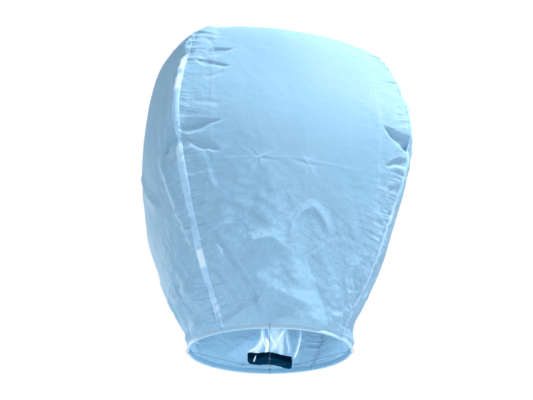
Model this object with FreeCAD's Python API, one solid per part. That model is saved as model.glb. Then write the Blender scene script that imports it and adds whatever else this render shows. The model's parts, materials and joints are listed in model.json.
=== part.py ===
import FreeCAD, Part
import math
import os

from FreeCAD import Vector

# A paper sky lantern: four glued gores on a bamboo hoop, and a fuel cell that hangs
# in the mouth on four steel wires. The origin is the centre of the hoop, +Z is up and
# the front gore faces -Y. Lengths are in millimetres, angles in degrees.

# Bamboo hoop
HOOP_RADIUS = 190.0  # centreline of the strip
HOOP_HEIGHT = 6.0
HOOP_THICKNESS = 1.6
SCARF_LENGTH = 45.0  # along the arc
SCARF_AZIMUTH = 33.0
SCARF_GAP = 0.1
BINDING_WIDTH = 5.0
BINDING_THICKNESS = 0.3
BINDING_SPACING = 26.0  # between the two thread bindings, along the arc
BINDING_FIT = 0.05

# Paper
PAPER_THICKNESS = 0.8  # stands in for tissue of about 0.05
HEM_CLEARANCE = 0.5  # round the hoop, enough for the thread bindings
HEM_TOP = 3.4  # the hem meets the gore here, outside the hoop
FLAP_TOP = 3.2  # the folded-in edge ends here, inside the hoop
SEAM_WING = 7.0  # the seam strip reaches this far onto each gore
SEAM_THICKNESS = 0.5
SEAM_FOOT_GAP = 3.0  # the seam strip starts this far above the hem
GLUE_GAP = 0.12
CROWN_PATCH_RADIUS = 36.0
CROWN_PATCH_THICKNESS = 0.5

# Shape of the inflated envelope above the hem, one station per line: height above the
# hoop, half chord of a gore (the seam stands at that distance in X and in Y) and bulge
# of the gore beyond its chord. The hoop sets the first station.
WALL = [
    (117.0, 188.0, 45.0),
    (244.0, 229.0, 47.0),
    (371.0, 264.0, 46.0),
    (488.0, 277.0, 46.0),
    (605.0, 261.0, 55.0),
    (660.0, 246.0, 62.0),
    (703.0, 224.0, 67.0),
]
ROOF_RISE = 78.0  # from the last wall station to the crown
ROOF = [(0.44, 0.80), (0.76, 0.54), (0.94, 0.27)]  # shares of the rise and of the half chord
TIP_HALF_CHORD = 8.0  # the gores stop here, under the crown patch

# Wires
WIRE_RADIUS = 0.4
WIRE_TURN = -12.0  # azimuth of the right-hand wire
LOOP_RADIUS = 5.9  # wire centreline, round the hoop and its hem
PIERCING_CLEARANCE = 0.5  # round the wire, where the loop goes through the gore
EYE_RADIUS = 3.0  # wire centreline of the small eyes
EYE_OFFSET = 4.6  # between the centres of two linked eyes, with the cell hanging
CELL_DROP = 32.0  # the cradle hangs this far below the hoop
CRADLE_REACH_LONG = 60.0  # to the centre of the eye
CRADLE_REACH_SHORT = 40.0
CRADLE_WIRE_GAP = 0.1

# Fuel cell
SHEET_COUNT = 5
SHEET_LENGTH = 104.0
SHEET_DEPTH = 60.0
SHEET_THICKNESS = 2.6
SHEET_GAP = 0.4
SHEET_WAVE = [(-0.5, 4.0), (-0.25, 0.5), (0.0, 1.5), (0.25, -3.5), (0.5, -1.5)]
CELL_CLEARANCE = 0.2
TIE_HALF_WIDTH = 8.0
TIE_HOLE_CLEARANCE = 0.4

SIDES = {"right": 0, "back": 90, "left": 180, "front": 270}
CORNERS = {"back_right": 90, "back_left": 180, "front_left": 270, "front_right": 0}
UP = Vector(0, 0, 1)
ORIGIN = Vector(0, 0, 0)

HEM_RADIUS = HOOP_THICKNESS / 2 + HEM_CLEARANCE + PAPER_THICKNESS  # half the hem's width
ROWS = 30  # the gore's surface is shaped through this many sections
COLUMNS = 9
SMALL_SHARE = 0.002  # step for slopes of the surface


def turned(shape, azimuth):
    copy = shape.copy()
    copy.rotate(ORIGIN, UP, azimuth)
    return copy


def polygon(points):
    return Part.Face(Part.makePolygon(points + [points[0]]))


def rod(start, end, radius=WIRE_RADIUS):
    return Part.makeCylinder(radius, (end - start).Length, start, end - start)


def ring(centre, axis, radius):
    return Part.makeTorus(radius, WIRE_RADIUS, centre, axis)


def joined(pieces):
    return pieces[0].multiFuse(pieces[1:]).removeSplitter()


def save(name, shape):
    solids = shape.Solids
    whole = solids[0] if len(solids) == 1 else Part.makeCompound(solids)
    print(f"{name}: {len(solids)} solid, {whole.Volume:.1f} mm3, valid {whole.isValid()}")
    whole.exportStep(f"parts/{name}.step")


# ---- envelope surface: one gore, facing +X ----


def envelope_profile():
    """A curve through the stations, as (half chord, bulge, height)."""
    foot = HOOP_RADIUS + HEM_RADIUS
    half_chord = foot / math.sqrt(2)
    stations = [Vector(half_chord, foot - half_chord, HEM_TOP)]
    stations += [Vector(chord, bulge, height) for height, chord, bulge in WALL]
    shoulder = stations[-1]
    round_bulge = math.sqrt(2) - 1  # a section with this bulge is a full circle
    for rise, share in ROOF:
        chord = shoulder.x * share
        flat = shoulder.y / shoulder.x
        bulge = chord * (round_bulge + (flat - round_bulge) * share**2)
        stations.append(Vector(chord, bulge, shoulder.z + ROOF_RISE * rise))
    tip = Vector(TIP_HALF_CHORD, TIP_HALF_CHORD * round_bulge, shoulder.z + ROOF_RISE)
    stations.append(tip)
    curve = Part.BSplineCurve()
    curve.interpolate(stations)
    return curve


PROFILE = envelope_profile()


def profile_at(share):
    first, last = PROFILE.FirstParameter, PROFILE.LastParameter
    return PROFILE.value(first + (last - first) * share)


def gore_point(share, across):
    """A point of the gore: share runs up the seam 0..1, across runs -1..1."""
    station = profile_at(share)
    half_angle = 2 * math.atan2(station.y, station.x)
    radius = station.x / math.sin(half_angle)
    angle = across * half_angle
    middle = station.x + station.y
    return Vector(middle - radius * (1 - math.cos(angle)), radius * math.sin(angle), station.z)


def wing_share(share, width):
    """How far in from the seam a strip of that width reaches, as a part of half the gore."""
    station = profile_at(share)
    half_angle = 2 * math.atan2(station.y, station.x)
    return min(width / (half_angle * station.x / math.sin(half_angle)), 0.9)


def skin_point(share, across, offset):
    """A point offset outward from the gore, kept in the seam planes and level at the foot."""
    point = gore_point(share, across)
    if offset == 0:
        return point
    if share == 0:
        radial = Vector(point.x, point.y, 0)
        return point + radial.normalize() * offset
    step = SMALL_SHARE
    low, high = max(share - step, 0), min(share + step, 1)
    upward = gore_point(high, across) - gore_point(low, across)
    sideways = gore_point(share, across + step) - gore_point(share, across - step)
    normal = sideways.cross(upward).normalize()
    moved = point + normal * offset
    if abs(across) == 1:
        seam = Vector(1, -math.copysign(1, across), 0)
        moved = moved - sideways * (moved.dot(seam) / sideways.dot(seam))
    return moved


def surface(rows):
    spline = Part.BSplineSurface()
    spline.interpolate(rows)
    return spline


def closed_solid(faces):
    shell = Part.makeShell(faces)
    shell.sewShape()
    solid = Part.makeSolid(Part.Shell(shell.Faces))
    if solid.Volume < 0:
        solid.reverse()
    return solid


def skin(shares, columns, inner, outer):
    """A closed solid between two offsets; columns(share) lists the across values."""
    sheets = []
    for offset in (inner, outer):
        rows = [[skin_point(s, a, offset) for a in columns(s)] for s in shares]
        sheets.append(surface(rows))
    inside, outside = sheets
    u0, u1, v0, v1 = inside.bounds()
    faces = [inside.toShape(), outside.toShape()]
    for cut in ("uIso", "vIso"):
        for end in (u0, u1) if cut == "uIso" else (v0, v1):
            edges = [getattr(sheet, cut)(end).toShape() for sheet in sheets]
            faces.append(Part.makeRuledSurface(edges[0], edges[1]))
    return closed_solid(faces)


def share_where(measure, target):
    """The share at which a measure of the profile, rising or falling in it, is the target."""
    low, high = 0.0, 1.0
    rising = measure(profile_at(1)) > measure(profile_at(0))
    for _ in range(50):
        middle = (low + high) / 2
        if (measure(profile_at(middle)) < target) == rising:
            low = middle
        else:
            high = middle
    return (low + high) / 2


def spaced(start, end, count):
    return [start + (end - start) * i / (count - 1) for i in range(count)]


# ---- paper ----


def hem_edge(x, z):
    """A quarter circle along a gore's foot, at x outside the hoop's centreline."""
    return Part.makeCircle(HOOP_RADIUS + x, Vector(0, 0, z), UP, -45, 45)


def fold_section(half_width):
    """Half a circle under the hoop in the XZ plane, from the outside in."""
    floor = -HOOP_HEIGHT / 2
    across = [Vector(HOOP_RADIUS + side * half_width, 0, floor) for side in (1, -1)]
    lowest = Vector(HOOP_RADIUS, 0, floor - half_width)
    return Part.Arc(across[0], lowest, across[1]).toShape()


def wall(offset):
    """The gore from the hem to its tip, at an offset from its outer face."""
    columns = spaced(-1, 1, COLUMNS)
    return surface([[skin_point(s, a, offset) for a in columns] for s in spaced(0, 1, ROWS)])


def low_edge(sheet):
    return sheet.uIso(sheet.bounds()[0]).toShape()


def high_edge(sheet):
    return sheet.uIso(sheet.bounds()[1]).toShape()


def loop_crossing():
    """Where the loop round the hoop goes through the gore, as (radius, height)."""
    low, high = 0.0, 90.0
    for _ in range(40):
        angle = (low + high) / 2
        x = HOOP_RADIUS + LOOP_RADIUS * math.cos(math.radians(angle))
        z = LOOP_RADIUS * math.sin(math.radians(angle))
        station = profile_at(share_where(lambda s: s.z, max(z, HEM_TOP)))
        outside = x > station.x + station.y - PAPER_THICKNESS / 2
        low, high = (angle, high) if outside else (low, angle)
    return Vector(x, 0, z), Vector(-z, 0, x - HOOP_RADIUS)


def whole_gore():
    """A gore facing +X, with its lower edge folded in under the hoop as a hem."""
    outer, inner, floor = HEM_RADIUS, HEM_RADIUS - PAPER_THICKNESS, -HOOP_HEIGHT / 2
    outer_wall, inner_wall = wall(0), wall(-PAPER_THICKNESS)
    flap = [hem_edge(-outer, FLAP_TOP), hem_edge(-inner, FLAP_TOP)]
    links = [
        (low_edge(outer_wall), hem_edge(outer, floor)),
        (hem_edge(-outer, floor), flap[0]),
        (flap[0], flap[1]),
        (flap[1], hem_edge(-inner, floor)),
        (hem_edge(inner, floor), low_edge(inner_wall)),
        (high_edge(inner_wall), high_edge(outer_wall)),
    ]
    folds = [turned(fold_section(half_width), -45) for half_width in (outer, inner)]
    faces = [sheet.toShape() for sheet in (outer_wall, inner_wall)]
    faces += [fold.revolve(ORIGIN, UP, 90) for fold in folds]
    faces += [Part.makeRuledSurface(a, b) for a, b in links]
    for side in (0, 1):  # the two seam planes
        edges = [sheet.vIso(sheet.bounds()[2 + side]).toShape() for sheet in (outer_wall, inner_wall)]
        edges += [turned(fold, 90 * side) for fold in folds]
        for pair in links:
            ends = [edge.valueAt(edge.ParameterRange[side]) for edge in pair]
            edges.append(Part.makeLine(*ends))
        faces.append(Part.Face(Part.Wire(Part.__sortEdges__(edges))))
    return closed_solid(faces)


def pierced_gore():
    """A gore with the hole where a wire's loop goes through, as the wires are turned."""
    centre, direction = loop_crossing()
    direction.normalize()
    reach = 2 * PAPER_THICKNESS + WIRE_RADIUS
    radius = WIRE_RADIUS + PIERCING_CLEARANCE
    hole = rod(centre - direction * reach, centre + direction * reach, radius)
    return whole_gore().cut(turned(hole, WIRE_TURN))


def crown_limit():
    """The share of the profile at the edge of the crown patch."""
    return share_where(lambda s: -(s.x + s.y), -(CROWN_PATCH_RADIUS + GLUE_GAP))


def seam_strip():
    """A strip over the seam between the +X gore and the -Y gore."""
    inner, outer = GLUE_GAP, GLUE_GAP + SEAM_THICKNESS
    foot = share_where(lambda s: s.z, HEM_TOP + SEAM_FOOT_GAP)
    shares = spaced(foot, crown_limit(), ROWS)

    def columns(share):
        return [-1 + wing_share(share, SEAM_WING) * i / 2 for i in range(3)]

    wing = skin(shares, columns, inner, outer)
    mirrored = wing.mirror(ORIGIN, Vector(1, 1, 0))
    return joined([wing, mirrored])


def crown_patch():
    """A round patch that follows the roof over the tips of the gores."""
    def roof_height(radius):
        return profile_at(share_where(lambda s: -(s.x + s.y), -radius)).z + GLUE_GAP

    edge = CROWN_PATCH_RADIUS
    points = [Vector(0, 0, roof_height(0)), Vector(edge / 2, 0, roof_height(edge / 2))]
    points.append(Vector(edge, 0, roof_height(edge)))
    thick = Vector(0, 0, CROWN_PATCH_THICKNESS)
    raised = [p + thick for p in points]
    edges = [
        Part.Arc(*points).toShape(),
        Part.makeLine(points[2], raised[2]),
        Part.Arc(*raised).toShape(),
        Part.makeLine(raised[0], points[0]),
    ]
    section = Part.Face(Part.Wire(Part.__sortEdges__(edges)))
    return section.revolve(ORIGIN, UP, 360)


# ---- hoop ----


def bamboo_hoop():
    """A strip bent into a ring, its two tapered ends laid face to face in a scarf."""
    half = Vector(HOOP_THICKNESS / 2, 0, HOOP_HEIGHT / 2)
    corner = Vector(HOOP_RADIUS, 0, 0) - half
    blank = Part.makeCylinder(HOOP_RADIUS + half.x, HOOP_HEIGHT, Vector(0, 0, -half.z))
    bore = Part.makeCylinder(corner.x, HOOP_HEIGHT, Vector(0, 0, -half.z))
    spread = math.degrees(SCARF_LENGTH / HOOP_RADIUS)
    sides = []
    for shift in (-SCARF_GAP / 2, SCARF_GAP / 2):
        points = []
        for share in spaced(-0.1, 1.1, 7):
            radius = corner.x + HOOP_THICKNESS * share + shift
            azimuth = math.radians(SCARF_AZIMUTH + spread * (share - 0.5))
            points.append(Vector(radius * math.cos(azimuth), radius * math.sin(azimuth), 0))
        curve = Part.BSplineCurve()
        curve.interpolate(points)
        sides.append(curve.toShape())
    saw = Part.makeRuledSurface(sides[0], sides[1])
    saw.translate(Vector(0, 0, -HOOP_HEIGHT))
    return blank.cut(bore).cut(saw.extrude(Vector(0, 0, 2 * HOOP_HEIGHT)))


def thread_bindings():
    """Two short windings of thread round the scarf."""
    def frame(margin):
        half_x = HOOP_THICKNESS / 2 + margin
        half_z = HOOP_HEIGHT / 2 + margin
        corners = [(-half_x, -half_z), (half_x, -half_z), (half_x, half_z), (-half_x, half_z)]
        face = polygon([Vector(HOOP_RADIUS + x, 0, z) for x, z in corners])
        sweep = math.degrees(BINDING_WIDTH / HOOP_RADIUS)
        return turned(face.revolve(ORIGIN, UP, sweep), -sweep / 2)

    winding = frame(BINDING_FIT + BINDING_THICKNESS).cut(frame(BINDING_FIT))
    offset = math.degrees(BINDING_SPACING / 2 / HOOP_RADIUS)
    both = [turned(winding, SCARF_AZIMUTH + side * offset) for side in (-1, 1)]
    return Part.makeCompound(both)


# ---- wires and fuel cell, with the right-hand wire along +X ----


def wire_leg(reach):
    """A wire from its loop round the hoop down to its eye, which links the cradle's eye."""
    pivot = Vector(HOOP_RADIUS, 0, 0)
    eye = Vector(reach + EYE_OFFSET, 0, -CELL_DROP)
    along = (eye - pivot).normalize()
    straight = rod(pivot + along * LOOP_RADIUS, eye - along * EYE_RADIUS)
    flat = along.cross(Vector(0, 1, 0))
    return joined([straight, ring(pivot, Vector(0, 1, 0), LOOP_RADIUS), ring(eye, flat, EYE_RADIUS)])


def cradle_wire(reach, height):
    """A straight wire under the fuel cell with an upright eye at each end."""
    pieces = [rod(Vector(EYE_RADIUS - reach, 0, height), Vector(reach - EYE_RADIUS, 0, height))]
    for side in (-1, 1):
        pieces.append(ring(Vector(side * reach, 0, height), Vector(0, 1, 0), EYE_RADIUS))
    return joined(pieces)


def sheet_wave(lift):
    """The line along a fuel sheet's underside, raised by lift."""
    curve = Part.BSplineCurve()
    curve.interpolate([Vector(x * SHEET_LENGTH, 0, z + lift) for x, z in SHEET_WAVE])
    return curve


def lowest_wave():
    curve = sheet_wave(0)
    return min(curve.value(t).z for t in spaced(curve.FirstParameter, curve.LastParameter, 100))


STACK_FLOOR = WIRE_RADIUS + CELL_CLEARANCE - CELL_DROP - lowest_wave()
STACK_HEIGHT = SHEET_COUNT * SHEET_THICKNESS + (SHEET_COUNT - 1) * SHEET_GAP


def tie_corner(side):
    reach = TIE_HALF_WIDTH / math.sqrt(2)
    return Vector(side * reach, side * reach, 0)


def fuel_sheet(index):
    """A waxed paper sheet of the stack, with two holes for the tie."""
    lift = STACK_FLOOR + index * (SHEET_THICKNESS + SHEET_GAP)
    lower, upper = sheet_wave(lift), sheet_wave(lift + SHEET_THICKNESS)
    section = Part.makeRuledSurface(lower.toShape(), upper.toShape())
    section.translate(Vector(0, -SHEET_DEPTH / 2, 0))
    sheet = section.extrude(Vector(0, SHEET_DEPTH, 0))
    for side in (-1, 1):
        start = tie_corner(side) - UP * 2 * CELL_DROP
        hole = rod(start, start + UP * 4 * CELL_DROP, WIRE_RADIUS + TIE_HOLE_CLEARANCE)
        sheet = sheet.cut(hole)
    return sheet


def cell_tie():
    """A closed wire tie through the stack, over its top and under the crossed wires."""
    wave_height = max(z for x, z in SHEET_WAVE if abs(x) < 0.3)
    top = STACK_FLOOR + STACK_HEIGHT + wave_height + WIRE_RADIUS + CELL_CLEARANCE
    bottom = -CELL_DROP - 4 * WIRE_RADIUS - 2 * CRADLE_WIRE_GAP
    corners = [tie_corner(-1) + UP * bottom, tie_corner(1) + UP * bottom]
    corners += [tie_corner(1) + UP * top, tie_corner(-1) + UP * top]
    pieces = [rod(a, b) for a, b in zip(corners, corners[1:] + corners[:1])]
    pieces += [Part.makeSphere(WIRE_RADIUS, corner) for corner in corners]
    return joined(pieces)


def main():
    os.makedirs("parts", exist_ok=True)
    gore = pierced_gore()
    for name, azimuth in SIDES.items():
        save(f"gore_{name}", turned(gore, azimuth))
        reach = CRADLE_REACH_LONG if name in ("left", "right") else CRADLE_REACH_SHORT
        save(f"wire_leg_{name}", turned(wire_leg(reach), azimuth + WIRE_TURN))
    strip = seam_strip()
    for name, azimuth in CORNERS.items():
        save(f"seam_strip_{name}", turned(strip, azimuth))
    save("crown_patch", crown_patch())
    save("bamboo_hoop", bamboo_hoop())
    save("thread_bindings", thread_bindings())
    long_wire = cradle_wire(CRADLE_REACH_LONG, -CELL_DROP)
    save("cradle_wire_long", turned(long_wire, WIRE_TURN))
    short_height = -CELL_DROP - 2 * WIRE_RADIUS - CRADLE_WIRE_GAP
    short_wire = cradle_wire(CRADLE_REACH_SHORT, short_height)
    save("cradle_wire_short", turned(short_wire, 90 + WIRE_TURN))
    save("cell_tie", turned(cell_tie(), WIRE_TURN))
    for index in range(SHEET_COUNT):
        save(f"fuel_sheet_{index + 1}", turned(fuel_sheet(index), WIRE_TURN))


main()
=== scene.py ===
import json
import math

import bpy
import numpy as np
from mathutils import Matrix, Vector
from mathutils.bvhtree import BVHTree


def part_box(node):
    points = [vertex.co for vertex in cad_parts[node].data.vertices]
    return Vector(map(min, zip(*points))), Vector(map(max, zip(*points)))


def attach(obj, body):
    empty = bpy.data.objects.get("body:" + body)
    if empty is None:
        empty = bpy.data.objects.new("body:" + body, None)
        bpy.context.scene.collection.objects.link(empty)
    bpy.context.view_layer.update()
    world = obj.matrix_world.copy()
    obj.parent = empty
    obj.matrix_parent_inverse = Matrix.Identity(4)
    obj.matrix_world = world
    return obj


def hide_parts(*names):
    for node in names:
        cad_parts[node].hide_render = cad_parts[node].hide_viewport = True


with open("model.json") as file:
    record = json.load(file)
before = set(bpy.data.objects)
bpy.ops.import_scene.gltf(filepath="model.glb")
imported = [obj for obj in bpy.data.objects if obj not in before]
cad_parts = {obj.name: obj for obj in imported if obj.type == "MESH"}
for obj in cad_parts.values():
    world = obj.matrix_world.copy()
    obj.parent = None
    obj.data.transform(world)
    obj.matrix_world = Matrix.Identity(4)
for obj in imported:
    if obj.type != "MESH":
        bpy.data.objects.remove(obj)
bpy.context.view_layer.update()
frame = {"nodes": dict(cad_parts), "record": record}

# A paper sky lantern in flight: four gores of crumpled tissue with glued seams, a hem
# rolled round a bamboo hoop, and a burning fuel cell of charred sheets on steel wires.
# Lengths are in metres; the hoop's centre is the origin and the front gore faces -Y.

MM = 0.001

# ---- sizes from the frame ----
hoop_low, hoop_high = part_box("bamboo_hoop")
gore_low, gore_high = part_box("gore_front")
HOOP_THICKNESS = 1.6 * MM
HOOP_RADIUS = hoop_high.x - HOOP_THICKNESS / 2
HEM_HALF_WIDTH = hoop_low.z - gore_low.z  # the fold is a half round under the hoop
CROWN_HEIGHT = gore_high.z
WIRE_RADIUS = 0.4 * MM
HOLE_CLEARANCE = 0.5 * MM  # round the wire, where its loop goes through the paper
WIRE_TURN = -12.0  # degrees from the gores' middles to the wires and the cell
CELL_LENGTH, CELL_DEPTH = 104 * MM, 60 * MM

SIDES = {"right": 0, "back": 90, "left": 180, "front": 270}  # azimuth of a gore's middle

# ---- paper grid ----
COLUMNS = 135  # across a gore
SIDE_ROWS, ROOF_ROWS = 286, 44  # up the side and over the roof
WALL_ROWS = SIDE_ROWS + ROOF_ROWS
SIDE_LENGTH = 0.74  # along the gore, from the hem to the shoulder
TIP_RADIUS = 14 * MM  # the gores stop this far from the axis, under the crown patch
WALL_FOOT = 4 * MM  # the wall starts this far above the hoop's middle
FLAP_HEIGHT = 7.5 * MM  # the folded-in edge of the hem
PAPER_THICKNESS = 0.35 * MM
GLUED_THICKNESS = 0.3 * MM  # seam strips and crown patch
VEIL_THICKNESS = 0.2 * MM
SHEET_MERGE = 0.02 * MM  # joins a sheet's top to its bottom at the rim


# ---------------------------------------------------------------- shader maths


class Ink:
    """A shader socket that takes + - * / and knows its node tree."""

    def __init__(self, tree, socket):
        self.tree, self.socket = tree, socket

    def node(self, kind, settings=None, inputs=None, output=0):
        made = self.tree.nodes.new(kind)
        for key, value in (settings or {}).items():
            if key == "stops":
                ramp = made.color_ramp.elements
                while len(ramp) < len(value):
                    ramp.new(0.5)
                for stop, (place, colour) in zip(ramp, value):
                    stop.position, stop.color = place, (*colour, 1)
            else:
                setattr(made, key, value)
        for key, value in (inputs or {}).items():
            if isinstance(value, Ink):
                self.tree.links.new(value.socket, made.inputs[key])
            else:
                made.inputs[key].default_value = value
        return Ink(self.tree, made.outputs[output])

    def math(self, operation, *values):
        return self.node("ShaderNodeMath", {"operation": operation}, dict(enumerate(values)))

    def __add__(self, other):
        return self.math("ADD", self, other)

    def __radd__(self, other):
        return self.math("ADD", other, self)

    def __sub__(self, other):
        return self.math("SUBTRACT", self, other)

    def __rsub__(self, other):
        return self.math("SUBTRACT", other, self)

    def __mul__(self, other):
        return self.math("MULTIPLY", self, other)

    def __rmul__(self, other):
        return self.math("MULTIPLY", other, self)

    def clamp(self):
        return self.node("ShaderNodeClamp", {}, {"Value": self})

    def noise(self, place, scale, detail=3.0, roughness=0.5):
        inputs = {"Vector": place, "Scale": scale, "Detail": detail, "Roughness": roughness}
        return self.node("ShaderNodeTexNoise", {}, inputs)

    def ridges(self, place, scale):
        settings = {"noise_type": "RIDGED_MULTIFRACTAL", "normalize": True}
        inputs = {"Vector": place, "Scale": scale, "Detail": 4.0, "Roughness": 0.55, "Gain": 1.6}
        return self.node("ShaderNodeTexNoise", settings, inputs)

    def stretched(self, place, scale):
        return self.node("ShaderNodeMapping", {}, {"Vector": place, "Scale": scale})

    def attribute(self, name):
        return self.node("ShaderNodeAttribute", {"attribute_name": name}, {}, "Fac")

    def mix(self, share, first, second):
        settings = {"data_type": "RGBA"}
        inputs = {0: share, 6: (*first, 1) if isinstance(first, tuple) else first}
        inputs[7] = (*second, 1) if isinstance(second, tuple) else second
        return self.node("ShaderNodeMix", settings, inputs, 2)

    def bump(self, height, strength, distance):
        inputs = {"Height": height, "Strength": strength, "Distance": distance}
        return self.node("ShaderNodeBump", {}, inputs)


def material(name, build):
    """A new material; build(ink, place) returns the Principled shader's inputs."""
    made = bpy.data.materials.new(name)
    made.use_nodes = True
    tree = made.node_tree
    shader = tree.nodes["Principled BSDF"]
    ink = Ink(tree, None)
    place = ink.node("ShaderNodeTexCoord", output="Object")
    for key, value in build(ink, place).items():
        if isinstance(value, Ink):
            tree.links.new(value.socket, shader.inputs[key])
        else:
            shader.inputs[key].default_value = value
    return made


def lets_light_through(made, share, tint):
    """Mixes in a tinted translucent shader with the surface's own bumps."""
    tree = made.node_tree
    shader = tree.nodes["Principled BSDF"]
    ink = Ink(tree, None)
    bumps = Ink(tree, shader.inputs["Normal"].links[0].from_socket)
    glow = ink.node("ShaderNodeBsdfTranslucent", {}, {"Color": (*tint, 1), "Normal": bumps})
    front = Ink(tree, shader.outputs[0])
    both = ink.node("ShaderNodeMixShader", {}, {0: share, 1: front, 2: glow})
    tree.links.new(both.socket, tree.nodes["Material Output"].inputs["Surface"])


# ---------------------------------------------------------------- materials


def tissue(ink, place):
    """Dyed tissue: cloudy dye, fine fibres, painted highlights along folds and round the hem's rolled edge,
    painted shade on the hem's inner flap.
    """
    cloud = ink.noise(place, 9.0, 4.0, 0.6)
    fibre = ink.noise(ink.stretched(place, (1.0, 1.0, 3.5)), 260.0, 3.0, 0.6)
    fold, doubled, inward = (ink.attribute(name) for name in ("fold", "doubled", "inward"))
    dye = ink.mix(cloud, (0.178, 0.364, 0.508), (0.214, 0.402, 0.548))
    dye = ink.mix((fibre * 0.5).clamp(), dye, (0.225, 0.405, 0.58))
    # painted highlight along folds, where the relief bends sharply
    dye = ink.mix((fold * 0.3).clamp(), dye, (0.36, 0.57, 0.78))
    # painted highlight round the hem's rolled edge and the wall's foot
    dye = ink.mix((doubled * 0.7).clamp(), dye, (0.46, 0.70, 0.90))
    # painted shade on the hem's inner flap
    dye = ink.mix((doubled * -1.0).clamp(), dye, (0.09, 0.25, 0.39))
    gather = ink.node("ShaderNodeCombineXYZ", {}, {0: ink.attribute("up"), 1: inward * 0.12})
    tuck = ink.ridges(gather, 80.0) + ink.ridges(gather, 190.0) * 0.4
    near_seam = ink.math("EXPONENT", inward * -28.0)
    crinkle = ink.ridges(place, 34.0) + ink.ridges(place, 95.0) * 0.4
    height = crinkle * ink.attribute("worn") + tuck * near_seam * 2.0 + fibre * 0.10
    return {
        "Base Color": dye,
        "Roughness": 0.7 - doubled * 0.2,
        "Normal": ink.bump(height, 1.0, 3.4 * MM),
    }


def glued(ink, place):
    """Seam strips: paper stiff and shiny with glue, wrinkled across its length, with painted shade and
    painted highlights on the wrinkles and painted highlights along it.
    """
    cloud = ink.noise(place, 40.0, 4.0, 0.6)
    wrinkle = ink.noise(ink.stretched(place, (0.5, 0.5, 4.0)), 90.0, 3.0, 0.6)
    dye = ink.mix(cloud, (0.29, 0.54, 0.76), (0.42, 0.68, 0.88))
    strip = {0: ink.attribute("up"), 1: ink.attribute("inward") * 0.15}
    wrinkle_shade = ink.ridges(ink.node("ShaderNodeCombineXYZ", {}, strip), 240.0)
    # painted shade in the wrinkles across the strip
    dye = ink.mix((wrinkle_shade * 0.35).clamp(), dye, (0.18, 0.40, 0.58))
    # painted highlight along the wrinkles
    dye = ink.mix((ink.attribute("fold") * 0.35).clamp(), dye, (0.50, 0.72, 0.90))
    # gleam: painted highlights in spans along the strip
    dye = ink.mix((ink.attribute("gleam") * 0.9).clamp(), dye, (0.72, 0.88, 0.98))
    return {
        "Base Color": dye,
        "Roughness": 0.28 + cloud * 0.25,
        "Coat Weight": 0.15,
        "Coat Roughness": 0.2,
        "Normal": ink.bump(wrinkle, 0.7, 1.2 * MM),
    }


def char(ink, place):
    """Burnt waxed paper: black, layered and dull, with faint spots of ash."""
    crust = ink.noise(place, 160.0, 6.0, 0.7)
    stops = [(0.58, (0, 0, 0)), (0.72, (1, 1, 1))]
    ash = ink.node("ShaderNodeValToRGB", {"stops": stops}, {"Fac": crust})
    layers = ink.noise(ink.stretched(place, (1.0, 1.0, 9.0)), 70.0, 4.0, 0.6)
    soot = ink.mix(layers, (0.0004, 0.010, 0.030), (0.0008, 0.028, 0.070))
    soot = ink.mix(ash * 0.10, soot, (0.02, 0.10, 0.18))
    return {
        "Base Color": soot,
        "Specular IOR Level": 0.0,
        "Roughness": 0.62 + crust * 0.3,
        "Normal": ink.bump(crust + layers, 0.8, 1.6 * MM),
    }


def bamboo(ink, place):
    """Split bamboo with its grain."""
    grain = ink.noise(ink.stretched(place, (1.0, 1.0, 14.0)), 60.0, 4.0, 0.6)
    return {
        "Base Color": ink.mix(grain, (0.17, 0.33, 0.44), (0.34, 0.52, 0.62)),
        "Roughness": 0.45 + grain * 0.2,
        "Normal": ink.bump(grain, 0.3, 0.6 * MM),
    }


def thread(ink, place):
    """Pale twisted thread."""
    inputs = {"Vector": place, "Scale": 900.0, "Distortion": 0.4}
    twist = ink.node("ShaderNodeTexWave", {"bands_direction": "DIAGONAL"}, inputs)
    return {
        "Base Color": ink.mix(twist, (0.40, 0.55, 0.66), (0.70, 0.82, 0.90)),
        "Roughness": 0.85,
        "Normal": ink.bump(twist, 0.6, 0.4 * MM),
    }


def wire_steel(ink, place):
    """Dark wire stained by heat."""
    stain = ink.noise(place, 240.0, 4.0, 0.6)
    return {
        "Base Color": ink.mix(stain, (0.008, 0.045, 0.09), (0.03, 0.09, 0.15)),
        "Metallic": 0.4,
        "Roughness": 0.5 + stain * 0.25,
        "Normal": ink.bump(stain, 0.2, 0.3 * MM),
    }


def fire(ink, place):
    """A veil of flame: bright at one edge, thinning out to nothing at the other."""
    glow = ink.attribute("glow")
    lick = ink.noise(ink.stretched(place, (1.0, 1.0, 0.25)), 55.0, 3.0, 0.5)
    density = (glow * (0.55 + lick * 0.9)).clamp()
    return {
        "Base Color": (0.0, 0.0, 0.0, 1.0),
        "Specular IOR Level": 0.0,
        "Emission Color": ink.mix(density, (0.20, 0.55, 0.88), (0.93, 0.985, 1.0)),
        "Emission Strength": 1.25,
        "Alpha": density,
    }


tissue_paper = material("tissue_paper", tissue)
lets_light_through(tissue_paper, 0.32, (0.50, 0.69, 0.80))
glued_paper = material("glued_paper", glued)
lets_light_through(glued_paper, 0.4, (0.66, 0.86, 1.0))
charred_paper = material("charred_paper", char)
bamboo_strip = material("bamboo_strip", bamboo)
binding_thread = material("binding_thread", thread)
steel_wire = material("steel_wire", wire_steel)
flame_glow = material("flame_glow", fire)


# ---------------------------------------------------------------- mesh helpers


def grid_piece(name, points, finish, attributes=None):
    """A grid primitive with its vertices moved to points[row, column]."""
    rows, columns = points.shape[:2]
    bpy.ops.object.select_all(action="DESELECT")
    bpy.ops.mesh.primitive_grid_add(x_subdivisions=columns - 1, y_subdivisions=rows - 1)
    piece = bpy.context.object
    piece.name = piece.data.name = name
    piece.data.vertices.foreach_set("co", points.astype(np.float32).ravel())
    for key, values in (attributes or {}).items():
        layer = piece.data.attributes.new(key, "FLOAT", "POINT")
        layer.data.foreach_set("value", values.astype(np.float32).ravel())
    piece.data.materials.append(finish)
    piece.data.update()
    bpy.ops.object.shade_smooth()
    return piece


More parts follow.
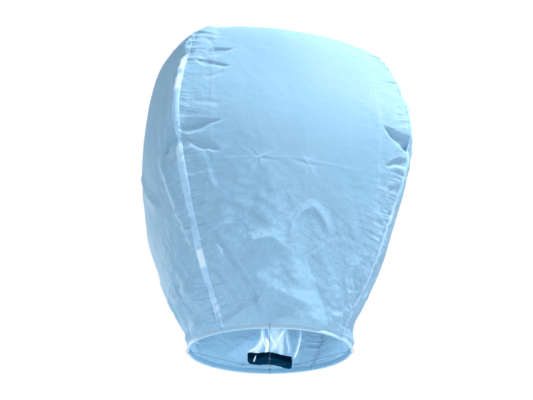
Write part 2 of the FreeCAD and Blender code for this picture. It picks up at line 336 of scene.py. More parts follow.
def apply(piece, kind, **settings):
    """Adds a modifier and applies it."""
    bpy.ops.object.select_all(action="DESELECT")
    piece.select_set(True)
    bpy.context.view_layer.objects.active = piece
    modifier = piece.modifiers.new(kind.lower(), kind)
    for key, value in settings.items():
        setattr(modifier, key, value)
    bpy.ops.object.modifier_apply(modifier=modifier.name)


def smooth_step(value):
    """From 0 to 1 with no kink at either end."""
    value = np.clip(value, 0, 1)
    return value * value * (3 - 2 * value)


def ripple(x, y, seed):
    """Smooth noise from about -1 to 1 whose features are about 1 across."""
    cell_x, cell_y = np.floor(x), np.floor(y)
    part_x, part_y = x - cell_x, y - cell_y

    def corner(dx, dy):
        mixed = np.sin((cell_x + dx) * 127.1 + (cell_y + dy) * 311.7 + seed * 74.7) * 43758.5453
        angle = (mixed - np.floor(mixed)) * 2 * np.pi
        return np.cos(angle) * (part_x - dx) + np.sin(angle) * (part_y - dy)

    across, up = smooth_step(part_x), smooth_step(part_y)
    low = corner(0, 0) * (1 - across) + corner(1, 0) * across
    high = corner(0, 1) * (1 - across) + corner(1, 1) * across
    return 1.4 * (low * (1 - up) + high * up)


def facets(x, y, size, seed, folds=8):
    """Paper folded along many straight lines: flat facets that meet at sharp creases."""
    chance = np.random.default_rng(seed)
    total = np.zeros_like(x)
    for fold in range(folds):
        angle = chance.uniform(0, math.pi)
        spacing = size * chance.uniform(0.7, 1.7)
        warp = 0.5 * ripple(x / size / 2.5, y / size / 2.5, seed + fold)
        phase = (x * math.cos(angle) + y * math.sin(angle)) / spacing + chance.uniform() + warp
        total += np.abs((phase % 1) * 2 - 1) * chance.uniform(-1, 1)
    return total / math.sqrt(folds)


# ---------------------------------------------------------------- envelope surface


def frame_tree(*nodes):
    """A ray tree of CAD nodes."""
    vertices, faces = [], []
    for node in nodes:
        mesh = frame["nodes"][node].data
        start = len(vertices)
        vertices += [v.co.copy() for v in mesh.vertices]
        faces += [[start + i for i in face.vertices] for face in mesh.polygons]
    return BVHTree.FromPolygons(vertices, faces)


MIDDLE = Vector((0, 0, CROWN_HEIGHT / 2))
NEAREST_WALL = 0.18  # no part of the envelope is closer to its middle than this
envelope_tree = frame_tree("gore_front", "gore_left", "gore_back", "gore_right")


def envelope_point(azimuth, polar):
    """The outer face of the frame's envelope, seen from its middle."""
    for nudge in (0, 2e-5, -3e-5, 2e-4, -3e-4, 1e-3):  # a ray along a mesh edge can slip through
        flat = math.sin(polar + nudge)
        turn = azimuth + nudge
        direction = Vector((flat * math.cos(turn), flat * math.sin(turn), math.cos(polar + nudge)))
        hit = envelope_tree.ray_cast(MIDDLE + direction, -direction)[0]
        if hit is not None and (hit - MIDDLE).length > NEAREST_WALL:
            return hit
    raise ValueError(f"no envelope at azimuth {azimuth:.4f}, polar {polar:.4f}")


def wall_polars():
    """Polar angles and heights along the gore's middle, from the hem to the crown."""
    foot = math.atan2(HOOP_RADIUS + HEM_HALF_WIDTH, WALL_FOOT - MIDDLE.z)
    tip = math.atan2(TIP_RADIUS, CROWN_HEIGHT - MIDDLE.z)
    rough = np.linspace(foot, tip, 400)
    line = np.array([envelope_point(0, polar) for polar in rough])
    run = np.concatenate([[0], np.cumsum(np.linalg.norm(np.diff(line, axis=0), axis=1))])
    side = np.linspace(0, SIDE_LENGTH, SIDE_ROWS, endpoint=False)
    steps = np.concatenate([side, np.linspace(SIDE_LENGTH, run[-1], ROOF_ROWS)])
    return np.interp(steps, run, rough), steps


polars, row_heights = wall_polars()
GORE_LENGTH = row_heights[-1]
azimuths = np.radians(np.linspace(-45, 45, COLUMNS))
wall = np.array([[envelope_point(a, p) for a in azimuths[1:-1]] for p in polars])  # faces +X
# each seam column carries the wall's curve on to the diagonal, where two gores meet
first, last = (
    3 * wall[:, near] - 3 * wall[:, next_one] + wall[:, far]
    for near, next_one, far in ((0, 1, 2), (-1, -2, -3))
)
for edge, sign in ((first, -1), (last, 1)):
    edge[:, 0] = (edge[:, 0] + sign * edge[:, 1]) / 2
    edge[:, 1] = sign * edge[:, 0]
wall = np.concatenate([first[:, None], wall, last[:, None]], axis=1)
steps = np.linalg.norm(np.diff(wall, axis=1), axis=2)
WIDTH = steps.sum(axis=1)  # across the gore, row by row
ACROSS = np.concatenate([np.zeros((WALL_ROWS, 1)), np.cumsum(steps, axis=1)], axis=1)
ACROSS -= WIDTH[:, None] / 2  # distance from the gore's middle line
UP = np.repeat(row_heights[:, None], COLUMNS, axis=1)
FROM_SEAM = WIDTH[:, None] / 2 - np.abs(ACROSS)
upward = np.gradient(wall, axis=0)
sideways = np.gradient(wall, axis=1)
NORMAL = np.cross(sideways, upward)
NORMAL /= np.linalg.norm(NORMAL, axis=2)[:, :, None]
# at a seam both gores move the same way, straight out along the corner
for column, sign in ((0, -1), (-1, 1)):
    corner = NORMAL[:, column].copy()
    out = (corner[:, 0] + sign * corner[:, 1]) / 2
    NORMAL[:, column, 0], NORMAL[:, column, 1] = out, sign * out
    NORMAL[:, column] /= np.linalg.norm(NORMAL[:, column], axis=1)[:, None]


# ---------------------------------------------------------------- creases and puckers


def along(points, x, y):
    """Distance of x, y from a broken line, and the share of the line reached there."""
    best = np.full(x.shape, 1e9)
    share = np.zeros(x.shape)
    lengths = [math.dist(a, b) for a, b in zip(points, points[1:])]
    done = 0.0
    for (ax, ay), (bx, by), length in zip(points, points[1:], lengths):
        t = np.clip(((x - ax) * (bx - ax) + (y - ay) * (by - ay)) / length**2, 0, 1)
        distance = np.hypot(x - ax - t * (bx - ax), y - ay - t * (by - ay))
        nearer = distance < best
        best = np.where(nearer, distance, best)
        share = np.where(nearer, (done + t * length) / sum(lengths), share)
        done += length
    return best, share


def crease(points, height, width):
    """A sharp ridge (or valley, if height is negative) that fades at both ends."""
    distance, share = along(points, ACROSS, UP)
    fade = smooth_step(share * 5) * smooth_step((1 - share) * 5)
    return height * fade * np.clip(1 - distance / width, 0, 1) ** 1.3


def star(x, y, radius, height, seed):
    """Short ridges and valleys that meet at a point, where the paper has been pinched."""
    chance = np.random.default_rng(seed)
    total = np.zeros_like(ACROSS)
    turn = chance.uniform(0, math.pi)
    for arm in range(8):
        angle = turn + arm * math.pi / 4 + chance.uniform(-0.3, 0.3)
        reach = radius * chance.uniform(0.5, 1.1)
        end = (x + reach * math.cos(angle), y + reach * math.sin(angle))
        distance, share = along([(x, y), end], ACROSS, UP)
        total += (-1) ** arm * (1 - share) * np.clip(1 - distance / (radius * 0.075), 0, 1)
    return height * total


def dent(x, y, length, width, angle, depth):
    """A leaf-shaped hollow with an uneven rim."""
    turn = math.radians(angle)
    dx = ACROSS - x + 0.012 * ripple(ACROSS / 0.04, UP / 0.03, x * 90)
    dy = UP - y + 0.007 * ripple(ACROSS / 0.03, UP / 0.04, y * 70)
    u = (dx * math.cos(turn) + dy * math.sin(turn)) / length
    v = (-dx * math.sin(turn) + dy * math.cos(turn)) / width
    inside = np.clip(1 - u * u - np.abs(v), 0, 1)
    return -depth * smooth_step(inside * 1.6)


def seam_wave(seed):
    """How far a seam stands in or out along its length."""
    line = UP[:, 0]
    still = smooth_step(line / 0.06) * smooth_step((GORE_LENGTH - 0.16 - line) / 0.12)
    wave = 2.6 * ripple(line / 0.10, line * 0, seed) + 1.2 * ripple(line / 0.03, line * 0, seed + 5)
    for place, depth, width in PINCHES[seed]:
        wave = wave - depth * np.exp(-(((line - place) / width) ** 2))
    return MM * wave * still


# where each seam is pinched in: distance up the gore in m, depth in mm, half length in m
PINCHES = {
    1: [(0.36, 6, 0.015), (0.58, 5, 0.012)],
    2: [(0.405, 9, 0.014), (0.61, 7, 0.012), (0.25, 3, 0.010), (0.11, 3, 0.012)],
    3: [(0.43, 8, 0.016), (0.56, 6, 0.010), (0.18, 3, 0.010)],
    4: [(0.34, 7, 0.014), (0.60, 5, 0.012)],
}
SEAM_SEED = {"right": (3, 4), "back": (4, 1), "left": (1, 2), "front": (2, 3)}  # low, high azimuth


def wear():
    """Where the paper has been crumpled by hands: near the seams and low down, 0 to 1."""
    near_seam, low_down = np.exp(-FROM_SEAM / 0.06), smooth_step((0.40 - UP) / 0.24)
    return 0.14 + 0.86 * np.maximum(near_seam, low_down)


def billow(seed):
    """Broad swells between the seams, in mm."""
    broad = 3.2 * ripple(ACROSS / 0.19, UP / 0.24, seed)
    return broad + 1.2 * ripple(ACROSS / 0.09, UP / 0.13, seed + 1)


def coarse_folds(seed):
    """Facets left by folding and handling, in mm, in patches and deeper low down."""
    worn = wear() * smooth_step(0.55 + 1.1 * ripple(ACROSS / 0.16, UP / 0.16, seed + 2))
    low_down = smooth_step((0.34 - UP) / 0.2)
    coarse = (8 + 4 * low_down) * facets(ACROSS, UP, 0.085, seed + 3)
    coarse += 3.5 * facets(ACROSS, UP, 0.034, seed + 4)
    return worn * coarse * smooth_step(FROM_SEAM / 0.02)


def puckers(seed):
    """Small pleats that run in from the seams, in mm."""
    line = UP * 0
    reach = 0.030 + 0.024 * ripple(UP / 0.09, line, seed + 7)
    bend = 0.6 * ripple(UP / 0.05, FROM_SEAM / 0.05, seed)
    pleat = 1 - 2.6 * np.abs(ripple(UP / 0.019 + bend, FROM_SEAM / 0.12, seed + 8))
    pleat += 0.5 - 1.2 * np.abs(ripple(UP / 0.009 - bend, FROM_SEAM / 0.05, seed + 10))
    strength = 0.7 + 0.5 * ripple(UP / 0.12, line, seed + 9)
    return 4.2 * pleat * np.exp(-FROM_SEAM / reach) * strength


def drapes(seed):
    """Folds that fan up from the hem, where the wide gore is gathered in, in mm."""
    swing = 0.8 * ripple(ACROSS / 0.12, UP / 0.12, seed + 11)
    fan = ACROSS / (0.055 + 0.12 * UP)
    fold = 1 - 2.2 * np.abs(ripple(fan + swing, UP / 0.5, seed + 12))
    return 5 * fold * smooth_step(UP / 0.03) * np.exp(-UP / 0.13)


FOLD_LINES = [(-0.20, 0.8), (0.19, 1.1)]  # from packing flat: place across in m, height in mm


def relief(side, seed):
    """How far a gore's paper stands in or out of its smooth shape, in m."""
    still = smooth_step(UP / 0.014) * smooth_step((GORE_LENGTH - 0.05 - UP) / 0.10)
    middle = smooth_step(FROM_SEAM / 0.05)
    fine = wear() * 1.2 * facets(ACROSS, UP, 0.018, seed + 6)
    soft = (billow(seed) + drapes(seed)) * middle
    total = MM * still * (soft + coarse_folds(seed) + fine + puckers(seed))
    for x, height in FOLD_LINES:
        total += crease([(x, 0.16), (x + 0.004, 0.5), (x, 0.92)], height * MM, 6 * MM)
    total += crease([(-0.20, 0.36), (0.0, 0.364), (0.16, 0.354)], 0.6 * MM, 4 * MM)
    total += creases_of(side) + scattered_creases(seed + 13)
    low, high = (seam_wave(s) for s in SEAM_SEED[side])
    left = 1 - smooth_step((ACROSS + WIDTH[:, None] / 2) / 0.035)
    right = 1 - smooth_step((WIDTH[:, None] / 2 - ACROSS) / 0.035)
    edge = smooth_step(FROM_SEAM / 0.006)
    return total * edge + low[:, None] * left + high[:, None] * right


CREASE_COUNT = 46


def scattered_creases(seed):
    """Short creases, by turns beside a seam and, shallower, low on the gore."""
    chance = np.random.default_rng(seed)
    total = np.zeros_like(ACROSS)
    for number in range(CREASE_COUNT):
        low_down = number % 2 == 1
        y = chance.uniform(0.02, 0.15) if low_down else chance.uniform(0.05, 0.66)
        half = np.interp(y, row_heights, WIDTH) / 2
        if low_down:
            x = chance.uniform(-half, half)
        else:
            x = chance.choice([-1, 1]) * half * chance.uniform(0.72, 0.97)
        angle, length = chance.uniform(-1.3, 1.3), chance.uniform(0.03, 0.08)
        bend = chance.uniform(-0.3, 0.3)
        points = [(x, y)]
        for turn in (angle, angle + bend):
            x, y = x + length / 2 * math.cos(turn), y + length / 2 * math.sin(turn)
            points.append((x, y))
        height = chance.choice([-1, 1]) * chance.uniform(0.9, 2.4) * (0.5 if low_down else 1)
        total += crease(points, height * MM, chance.uniform(5, 13) * MM)
    return total


# pinched stars of each gore: place across and up in m, radius and height in mm, seed
STARS = {
    "front": [
        (-0.085, 0.362, 55, 1.5, 11),
        (0.024, 0.352, 50, 1.4, 12),
        (-0.07, 0.05, 55, 2.4, 13),
        (0.18, 0.12, 50, 3.0, 15),
        (-0.20, 0.20, 45, 2.6, 16),
    ],
    "left": [(0.075, 0.09, 60, 4, 17), (0.06, 0.12, 60, 4, 14)],
}

# larger creases of each gore: points across and up in m, height and width in mm
CREASES = {
    "front": [
        ([(-0.20, 0.25), (-0.10, 0.105), (-0.07, 0.05), (-0.04, 0.0)], -6.0, 9),
        ([(-0.19, 0.16), (-0.16, 0.13), (-0.10, 0.045)], -5.0, 8),
        ([(-0.18, 0.22), (-0.14, 0.11), (-0.12, 0.05)], 2.5, 12),
        ([(-0.17, 0.0), (-0.07, 0.05), (-0.035, 0.075), (0.02, 0.055), (0.07, 0.05)], 6.0, 22),
        ([(-0.07, 0.05), (-0.09, 0.0)], 3.5, 12),
        ([(0.02, 0.17), (0.06, 0.09), (0.12, -0.02)], -4.5, 36),
        (
            [(-0.01, 0.17), (-0.005, 0.22), (0.015, 0.25), (0.04, 0.262), (0.06, 0.245), (0.09, 0.20)],
            4.0,
            16,
        ),
        ([(-0.13, 0.15), (-0.09, 0.185), (-0.05, 0.19), (-0.015, 0.165)], 4.0, 18),
        ([(-0.10, 0.09), (-0.04, 0.14), (0.0, 0.15)], -3.5, 28),
        ([(0.19, 0.21), (0.13, 0.13), (0.17, 0.06)], 2.4, 10),
        ([(0.20, 0.10), (0.14, 0.06), (0.10, 0.03)], 2.4, 9),
    ],
    "left": [
        ([(0.17, 0.42), (0.195, 0.36), (0.205, 0.26), (0.213, 0.19), (0.22, 0.15)], 7, 24),
        ([(0.05, 0.20), (0.05, 0.145), (0.095, 0.11)], 4, 10),
        ([(0.10, 0.13), (0.14, 0.07), (0.17, 0.01)], 9, 48),
        ([(-0.02, 0.46), (0.05, 0.36), (0.12, 0.30)], 6, 30),
        ([(-0.12, 0.22), (-0.02, 0.10)], 6, 30),
        ([(0.06, 0.15), (0.09, 0.05)], -5, 14),
    ],
}

# dents of each gore: place, length and width in m, angle in degrees, depth in mm
DENTS = {
    "front": [
        (-0.225, 0.43, 0.055, 0.014, 14, 7),
        (-0.22, 0.395, 0.05, 0.012, -16, 5),
        (-0.19, 0.615, 0.05, 0.013, 20, 4.5),
        (-0.20, 0.585, 0.045, 0.010, -8, 4),
        (0.255, 0.44, 0.055, 0.018, -24, 10),
        (0.25, 0.395, 0.045, 0.011, 10, 6),
    ],
    "left": [(0.25, 0.42, 0.055, 0.018, 30, 10)],
}


def creases_of(side):
    """The larger creases, dents and pinched stars of one gore."""
    total = np.zeros_like(ACROSS)
    for x, y, radius, height, seed in STARS.get(side, []):
        total += star(x, y, radius * MM, height * MM, seed)
    for points, height, width in CREASES.get(side, []):
        total += crease(points, height * MM, width * MM)
    for *shape, depth in DENTS.get(side, []):
        total += dent(*shape, depth * MM)
    return total


def fold_highlight(height):
    """Where the paper is bent sharply, 0 to 1: where a painted highlight goes along the folds."""
    bend = np.abs(np.gradient(np.gradient(height, axis=0), axis=0))
    bend += np.abs(np.gradient(np.gradient(height, axis=1), axis=1))
    return np.clip(bend / (0.5 * MM), 0, 1)


# ---------------------------------------------------------------- gores


def hem_rows(seed):
    """The hem: down inside the hoop from its free edge, round under it, up to the wall."""
    inner, floor = HEM_HALF_WIDTH, hoop_low.z
    path = [(-inner, FLAP_HEIGHT), (-inner, 5 * MM), (-inner, 1 * MM), (-inner, floor)]
    for angle in (210, 240, 270, 300, 330):
        turn = math.radians(angle)
        path.append((inner * math.cos(turn), floor + inner * math.sin(turn)))
    path += [(inner, floor), (inner, -1 * MM), (inner, 1.5 * MM)]
    rows = []
    for index, (x, z) in enumerate(path):
        wave = 0.25 * MM * ripple(azimuths * 40, azimuths * 0 + index * 0.4, seed)
        ragged = 1.8 * MM * ripple(azimuths * 25, azimuths * 0, seed + 1) if index == 0 else 0
        radius = HOOP_RADIUS + x + np.sign(x) * np.abs(wave)
        heights = z + ragged + azimuths * 0
        row = [radius * np.cos(azimuths), radius * np.sin(azimuths), heights]
        rows.append(np.stack(row, axis=1))
    return np.array(rows)


def turned(points, degrees):
    """Points turned about the lantern's axis."""
    cosine, sine = math.cos(math.radians(degrees)), math.sin(math.radians(degrees))
    return points @ np.array([[cosine, -sine, 0], [sine, cosine, 0], [0, 0, 1]]).T


def pierce(gore, leg):
    """Holes in the wall and in the hem's flap, where a wire's loop goes through them."""
    pivot, axis = next(
        (Vector(joint["pos_m"]), Vector(joint["axis"]))
        for joint in frame["record"]["behaviour"]["joints"]
        if joint["child"] == leg
    )
    loop_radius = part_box(f"wire_{leg}")[1].z - pivot.z - WIRE_RADIUS
    bpy.ops.object.select_all(action="DESELECT")
    bpy.ops.mesh.primitive_torus_add(
        major_radius=loop_radius,
        minor_radius=WIRE_RADIUS + HOLE_CLEARANCE,
        major_segments=64,
        minor_segments=12,
        location=pivot,
        rotation=Vector((0, 0, 1)).rotation_difference(axis).to_euler(),
    )
    cutter = bpy.context.object
    bpy.ops.object.transform_apply(location=True, rotation=True, scale=True)
    bpy.ops.object.mode_set(mode="EDIT")
    bpy.ops.mesh.select_all(action="SELECT")
    foot = pivot + Vector((0, 0, loop_radius / 2))
    bpy.ops.mesh.bisect(plane_co=foot, plane_no=(0, 0, 1), use_fill=True, clear_inner=True)
    bpy.ops.object.mode_set(mode="OBJECT")
    apply(gore, "BOOLEAN", operation="DIFFERENCE", solver="EXACT", object=cutter)
    bpy.data.objects.remove(cutter)


# soft swellings and hollows: azimuth and its reach in degrees, height and its reach in m,
# size in mm
SWELLINGS = [
    (-25, 35, 0.44, 0.10, 9),
    (-15, 40, 0.10, 0.06, -13),
    (175, 40, 0.27, 0.08, 9),
    (168, 45, 0.045, 0.035, -14),
    (-15, 45, 0.045, 0.035, -13),
]
LEAN_LINE = (0.979, -0.205)  # level direction across which the roof is askew


def settled(points):
    """The envelope as hot air holds it: swollen unevenly, its roof a little askew."""
    x, y, z = points[..., 0], points[..., 1], points[..., 2]
    azimuth = np.degrees(np.arctan2(y, x))
    push = np.zeros_like(x)
    for turn, turn_reach, height, height_reach, size in SWELLINGS:
        off = (azimuth - turn + 180) % 360 - 180
        push += size * MM * np.exp(-((off / turn_reach) ** 2) - ((z - height) / height_reach) ** 2)
    scale = 1 + push * smooth_step(z / 0.03) / np.maximum(np.hypot(x, y), 0.05)
    side = LEAN_LINE[0] * x + LEAN_LINE[1] * y
    lean = np.where(side < 0, -0.068 * side, -0.055 * side * np.exp(-((side / 0.13) ** 2)))
    lean = (lean - 0.003 * smooth_step((side + 0.1) / 0.1)) * smooth_step((z - 0.58) / 0.14)
    return np.stack([x * scale, y * scale, z + lean], axis=-1)


# row by row: painted shade on the inner flap, then a painted highlight round the rolled edge
HEM_LIGHT_AND_SHADE = [-0.7, -0.8, -0.7, -0.3, 0.4] + [1.0] * 6 + [0.6]  # row by row: dark to pale
hem = hem_rows(7)
hem_light_and_shade_rows = np.array(HEM_LIGHT_AND_SHADE)[:, None] * np.ones(COLUMNS)
gore_walls = {}
for index, (side, azimuth) in enumerate(SIDES.items()):
    height = relief(side, 20 + 10 * index)
    shaped = wall + NORMAL * height[:, :, None]
    gore_walls[side] = settled(turned(shaped, azimuth))
    points = np.concatenate([turned(hem, azimuth), gore_walls[side]])
    finish = {
        # painted highlights along folds, and a faint one all over the hem
        "fold": np.concatenate([hem_light_and_shade_rows * 0 + 0.3, fold_highlight(height)]),
        # painted highlight round the hem's rolled edge and the wall's foot, painted shade on the inner flap
        "doubled": np.concatenate([hem_light_and_shade_rows, 0.6 * np.exp(-UP / (4 * MM))]),
        "worn": np.concatenate([hem_light_and_shade_rows * 0 + 0.3, wear()]),
        "up": np.concatenate([hem_light_and_shade_rows * 0, UP]),
        "inward": np.concatenate([hem_light_and_shade_rows * 0 + 0.2, FROM_SEAM]),
    }
    gore = grid_piece(f"paper_gore_{side}", points, tissue_paper, finish)
    apply(gore, "SOLIDIFY", thickness=PAPER_THICKNESS, offset=-1)
    pierce(gore, f"leg_{side}")
    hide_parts(f"gore_{side}")
    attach(gore, "envelope")


# ---------------------------------------------------------------- seam strips


STRIP_HALF_WIDTH = 8.6  # mm


def seam_strip(name, lower_side, upper_side, seed, lower_share, upper_share, gleams):
    """A strip over the seam where one gore's high edge meets the next one's low edge."""
    start, stop = 2, WALL_ROWS - 6
    line = UP[start:stop, 0]
    uneven = 0.9 * ripple(line / 0.06, line * 0, seed) + 0.5 * ripple(line / 0.012, line * 0, seed + 1)
    half_widths = MM * (STRIP_HALF_WIDTH + uneven)
    lower, upper = gore_walls[lower_side][start:stop], gore_walls[upper_side][start:stop]
    half = COLUMNS // 2 + 1
    shares = np.linspace(-1, 1, 13)
    rows = []
    for row, half_width in enumerate(half_widths):
        distances = FROM_SEAM[start + row][:half]
        points = []
        for share in shares:
            source, side_share = (lower[row][::-1], lower_share) if share < 0 else (upper[row], upper_share)
            reach = min(abs(share) * half_width * side_share, distances[-1] * 0.9)
            points.append([np.interp(reach, distances, source[:half, axis]) for axis in range(3)])
        rows.append(points)
    points = np.array(rows)
    out = np.cross(np.gradient(points, axis=1), np.gradient(points, axis=0))
    out /= np.linalg.norm(out, axis=2)[:, :, None]
    grid_share = np.repeat(shares[None, :], len(line), axis=0)
    grid_line = np.repeat(line[:, None], len(shares), axis=1)
    tick = np.abs(ripple(grid_line / 0.006, grid_share * 0.7, seed + 2))
    lift = MM * (0.55 + 0.55 * tick + 0.5 * np.exp(-((grid_share / 0.25) ** 2)))
    # pale lines along the wrinkles: a painted highlight
    fold = np.clip(1 - tick * 3, 0, 1)
    # gleam: painted highlights along the strip
    gleam = 0.5 * smooth_step(2.6 * ripple(grid_line / 0.11, grid_share * 0, seed + 3) - 0.35)
    for low, high in gleams:
        gleam += smooth_step((grid_line - low) / 0.004) * smooth_step((high - grid_line) / 0.004)
    finish = {"fold": fold, "gleam": gleam * smooth_step(1.4 - np.abs(grid_share))}
    finish.update(up=grid_line, inward=grid_share * 7 * MM)
    piece = grid_piece(name, points + out * lift[:, :, None], glued_paper, finish)
    apply(piece, "SOLIDIFY", thickness=GLUED_THICKNESS, offset=-1)
    return piece


# gores on each side of a seam, seed, the strip's reach over each of them, and its spans
# of painted highlight up the gore in m
SEAMS = {
    "front_right": ("front", "right", 51, 0.8, 1.0, []),
    "back_right": ("right", "back", 52, 1.0, 1.0, [(0.30, 0.34)]),
    "back_left": ("back", "left", 53, 1.0, 1.0, [(0.42, 0.47)]),
    "front_left": ("left", "front", 54, 0.35, 1.55, [(0.505, 0.55), (0.558, 0.595), (0.15, 0.19)]),
}
for corner_name, (lower_side, upper_side, *rest) in SEAMS.items():
    strip = seam_strip(f"glued_seam_{corner_name}", lower_side, upper_side, *rest)
    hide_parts(f"seam_strip_{corner_name}")
    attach(strip, "envelope")


# ---------------------------------------------------------------- crown patch

patch_low, patch_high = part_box("crown_patch")
patch_tree = frame_tree("crown_patch")


def crown_patch():
    """The round patch, draped from the frame's own and slightly crumpled, with a painted highlight on the
    crumples.
    """
    count = 41
    span = np.linspace(-1, 1, count)
    x, y = np.meshgrid(span, span)
    disc_x, disc_y = x * np.sqrt(1 - y * y / 2), y * np.sqrt(1 - x * x / 2)
    angle = np.arctan2(disc_y, disc_x)
    radius = patch_high.x * (0.985 + 0.012 * ripple(angle * 3, angle * 0, 61))
    px, py = disc_x * radius, disc_y * radius
    points = np.zeros((count, count, 3))
    for row in range(count):
        for column in range(count):
            start = Vector((px[row, column], py[row, column], 1))
            hit = patch_tree.ray_cast(start, Vector((0, 0, -1)))[0]
            points[row, column] = (start.x, start.y, hit.z if hit else patch_low.z)
    crumple = 0.5 * MM * facets(px, py, 0.02, 62) + 0.3 * MM * ripple(px / 0.01, py / 0.01, 63)
    points[:, :, 2] += np.abs(crumple) + 1 * MM
    # painted highlight on the raised crumples
    fold = np.clip(np.abs(crumple) / (0.6 * MM), 0, 1)
    return grid_piece("paper_crown_patch", settled(points), glued_paper, {"fold": fold})


patch = crown_patch()
apply(patch, "SOLIDIFY", thickness=GLUED_THICKNESS, offset=-1)
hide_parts("crown_patch")
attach(patch, "envelope")


# ---------------------------------------------------------------- fuel cell


def sheet_profile(index):
    """Heights of a CAD sheet's top and bottom along the cell, clear of the tie's holes."""
    tree, up = frame_tree(f"fuel_sheet_{index}"), Vector((0, 0, 1))
    reach = np.linspace(-0.49, 0.49, 61) * CELL_LENGTH
    heights = []
    for x in reach:
        place = Vector(turned(np.array([x, 0.37 * CELL_DEPTH, 0]), WIRE_TURN))
        heights.append([tree.ray_cast(place + side * up, -side * up)[0].z for side in (1, -1)])
    return reach, np.array(heights)


def burnt_sheet(index):
    """A charred sheet: the frame's wave, a ragged rim rounded off, and ends that droop."""
    columns, rows = 105, 61
    span_x, span_y = np.linspace(-1, 1, columns), np.linspace(-1, 1, rows)
    grid_x, grid_y = np.meshgrid(span_x, span_y)
    seed = 70 + index
    corner = np.sqrt(np.clip(1 - 0.16 * grid_y**4, 0, 1)), np.sqrt(np.clip(1 - 0.22 * grid_x**6, 0, 1))
    bite_x = 0.09 * np.abs(ripple(grid_y * 2.6, grid_y * 0 + 0.2 * index, 70))
    bite_y = 0.10 * np.abs(ripple(grid_x * 5, grid_x * 0 + index, seed + 9))
    x = grid_x * CELL_LENGTH / 2 * corner[0] * (1.005 - bite_x)
    y = grid_y * CELL_DEPTH / 2 * corner[1] * (1.01 - bite_y)
    rim = np.maximum(np.abs(grid_x), np.abs(grid_y) ** 1.5)
    plump = np.sqrt(np.clip(1 - rim**8, 0, 1))
    reach, heights = sheet_profile(index)
    top, bottom = (np.interp(x, reach, heights[:, side]) for side in (0, 1))
    crumple = 0.5 * MM * ripple(x / 0.012, y / 0.012, seed) + 0.3 * MM * ripple(x / 0.005, y / 0.005, seed)
    half = (top - bottom) / 2 * plump
    off_wire = smooth_step((np.abs(y) - 2 * MM) / (9 * MM))
    droop = (1.15 - 0.1 * index) * 8 * MM * smooth_step((x - 0.022) / 0.034) * off_wire
    waist = np.exp(-((x / 0.013) ** 2)) * smooth_step((-y - 0.012) / 0.012)
    droop -= (1.1 - 0.2 * index) * 5 * MM * waist
    frayed = 1.5 * MM * ripple(x / 0.006, y / 0.03, seed + 4) * rim**6
    faces = []
    for sign in (1, -1):
        z = (top + bottom) / 2 + sign * half * 0.94 + crumple * (0.3 + 0.7 * rim**4) - droop + frayed
        faces.append(turned(np.stack([x, y, z], axis=2), WIRE_TURN))
    top, bottom = faces
    return np.concatenate([top, bottom[::-1]])  # over the front rim and back underneath


for index in range(1, 6):
    points = burnt_sheet(index)
    sheet = grid_piece(f"charred_sheet_{index}", points, charred_paper)
    bpy.ops.object.mode_set(mode="EDIT")
    bpy.ops.mesh.select_all(action="SELECT")
    bpy.ops.mesh.remove_doubles(threshold=SHEET_MERGE)
    bpy.ops.mesh.normals_make_consistent(inside=False)
    bpy.ops.object.mode_set(mode="OBJECT")
    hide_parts(f"fuel_sheet_{index}")
    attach(sheet, "cell")


# ---------------------------------------------------------------- flame

# each veil: points (along the cell, height) in mm, half width and depth across the cell
# in mm, which edge is bright (0 for the middle) and how dense the flame is
VEILS = [
    ([(-53, -8), (-50, 0), (-38, 7), (-27, 18), (-21, 32), (-17, 52), (-10, 84)], 6, 0, 1, 1.0),
    ([(2, -12), (-4, 4), (-9, 18), (-14, 34), (-16, 52), (-12, 88)], 6, -8, -1, 1.1),
    ([(-40, -12), (-28, 4), (-20, 20), (-15, 38), (-13, 60)], 10, 4, 0, 0.55),
    ([(0, -6), (5, 10), (14, 26), (26, 42), (35, 56), (42, 84)], 5, 4, 1, 1.3),
    ([(16, -4), (18, 14), (9, 28), (3, 42), (1, 60), (4, 90)], 7, -4, -1, 0.9),
    ([(24, -12), (26, 6), (24, 24), (30, 46), (38, 80)], 12, 8, 0, 0.5),
    ([(46, -14), (50, 4), (46, 24), (42, 50), (44, 82)], 8, -6, -1, 0.6),
    ([(52, -22), (60, -4), (67, 20), (72, 46), (70, 84)], 5, 6, 1, 1.0),
    ([(4, -8), (12, 20), (14, 50), (8, 110)], 24, 2, 0, 0.45),
    ([(-10, -12), (-6, 2), (-4, 14), (-9, 26), (-13, 40)], 6, -12, 0, 1.0),
    ([(-37, -36), (-35, -30), (-33, -24), (-31, -17)], 1.6, -33, 0, 1.1),
]


def veil(number, points, half_width, depth, bright, density):
    """Points and glow of a thin curved sheet of flame along a smooth line."""
    rows, columns = 61, 17
    knots = np.array(points) * MM
    share = np.linspace(0, len(points) - 1, rows)
    line = np.stack([np.interp(share, range(len(points)), knots[:, axis]) for axis in (0, 1)], axis=1)
    for _ in range(14):
        line[1:-1] = (line[:-2] + line[1:-1] * 2 + line[2:]) / 4
    along_line = np.linspace(0, 1, rows)
    width = half_width * MM * np.sin(np.pi * np.clip(along_line * 0.85 + 0.12, 0, 1)) ** 0.6
    tangent = np.gradient(line, axis=0)
    tangent /= np.linalg.norm(tangent, axis=1)[:, None]
    across = np.linspace(-1, 1, columns)
    x = line[:, :1] + tangent[:, 1:] * width[:, None] * across
    z = line[:, 1:] - tangent[:, :1] * width[:, None] * across
    y = depth * MM + width[:, None] * 0.5 * across**2 + 2 * MM * ripple(z / 0.03, x / 0.03, 80 + number)
    if bright == 0:
        edge = (1 - across**2) ** 1.5
    else:
        rise = np.clip((across * bright + 1) / 2, 0, 1)
        edge = (0.75 * rise**3 + 0.35 * rise) * np.clip((1 - across * bright) * 4, 0, 1) ** 0.7
    fade = smooth_step(along_line * 6) * smooth_step((1 - along_line) * 2.2)
    glow = density * fade[:, None] * edge[None, :]
    return turned(np.stack([x, y, z], axis=2), WIRE_TURN), glow


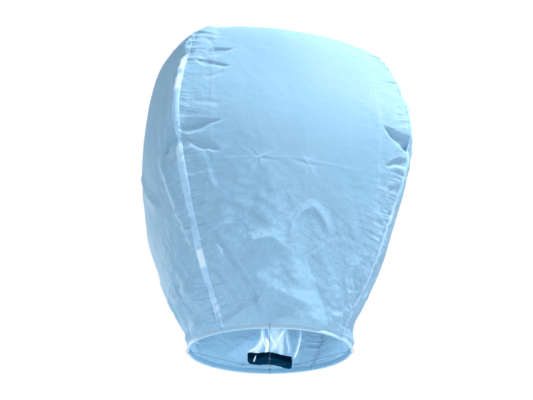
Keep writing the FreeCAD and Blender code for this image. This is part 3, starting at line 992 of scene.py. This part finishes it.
for number, veil_shape in enumerate(VEILS):
    shape, glow = veil(number, *veil_shape)
    piece = grid_piece(f"flame_veil_{number + 1}", shape, flame_glow, {"glow": glow})
    apply(piece, "SOLIDIFY", thickness=VEIL_THICKNESS, offset=0)
    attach(piece, "cell")


# ---------------------------------------------------------------- carried-over nodes

FINISHES = {"bamboo_hoop": bamboo_strip, "thread_bindings": binding_thread}
FINISHES.update({f"wire_leg_{side}": steel_wire for side in SIDES})
FINISHES.update({name: steel_wire for name in ("cradle_wire_long", "cradle_wire_short", "cell_tie")})
for node, finish in FINISHES.items():
    for material_slot in frame["nodes"][node].material_slots:
        material_slot.material = finish


# ---------------------------------------------------------------- camera and light

CAMERA_DISTANCE = 2.15  # from the hoop's centre
CAMERA_TURN, CAMERA_DROP = math.radians(11.85), math.radians(16.03)
AIM_TURN, AIM_RISE = math.radians(11.64), math.radians(25.47)
LENS = 61.3
FLOOR_HEIGHT, FLOOR_SIZE = -1.1, 80  # m: the lantern floats above a wide floor


def heading(turn, rise):
    """A direction turned from +Y towards +X and raised above the level."""
    return Vector((math.sin(turn) * math.cos(rise), math.cos(turn) * math.cos(rise), math.sin(rise)))


camera = bpy.data.objects.new("camera", bpy.data.cameras.new("camera"))
bpy.context.collection.objects.link(camera)
camera.location = -heading(CAMERA_TURN, CAMERA_DROP) * CAMERA_DISTANCE
camera.rotation_euler = heading(AIM_TURN, AIM_RISE).to_track_quat("-Z", "Y").to_euler()
camera.data.lens = LENS
camera.data.sensor_width = 36.0
bpy.context.scene.camera = camera

bpy.ops.object.select_all(action="DESELECT")
bpy.ops.mesh.primitive_plane_add(size=FLOOR_SIZE, location=(0, 0, FLOOR_HEIGHT))
floor = bpy.context.object
floor.name = "floor"


def pale(ink, place):
    """A plain floor."""
    return {"Base Color": (0.86, 0.88, 0.90, 1.0), "Roughness": 0.9}


floor.data.materials.append(material("pale_floor", pale))


def lamp(name, kind, place, power):
    """A white lamp; power in watts."""
    light = bpy.data.objects.new(name, bpy.data.lights.new(name, kind))
    light.data.energy, light.location = power, place
    bpy.context.collection.objects.link(light)
    return light


def studio_lamp(name, place, target, size, power):
    """A round lamp that faces target."""
    light = lamp(name, "AREA", place, power)
    light.data.shape, light.data.size = "DISK", size
    light.rotation_euler = (Vector(target) - Vector(place)).to_track_quat("-Z", "Y").to_euler()


studio_lamp("key", (1.35, -1.8, 3.05), (0, 0, 0.4), 0.35, 250)
studio_lamp("rim", (-1.7, 3.0, 0.9), (0, 0, 0.35), 0.6, 46)
lamp("inside", "POINT", (0, 0, 0.075), 1.9).data.shadow_soft_size = 0.04  # the flame's light

world = bpy.data.worlds.new("studio")
bpy.context.scene.world = world
world.use_nodes = True
world.node_tree.nodes["Background"].inputs["Color"].default_value = (1, 1, 1, 1)
world.node_tree.nodes["Background"].inputs["Strength"].default_value = 1.0
bpy.context.scene.view_settings.view_transform = "Standard"
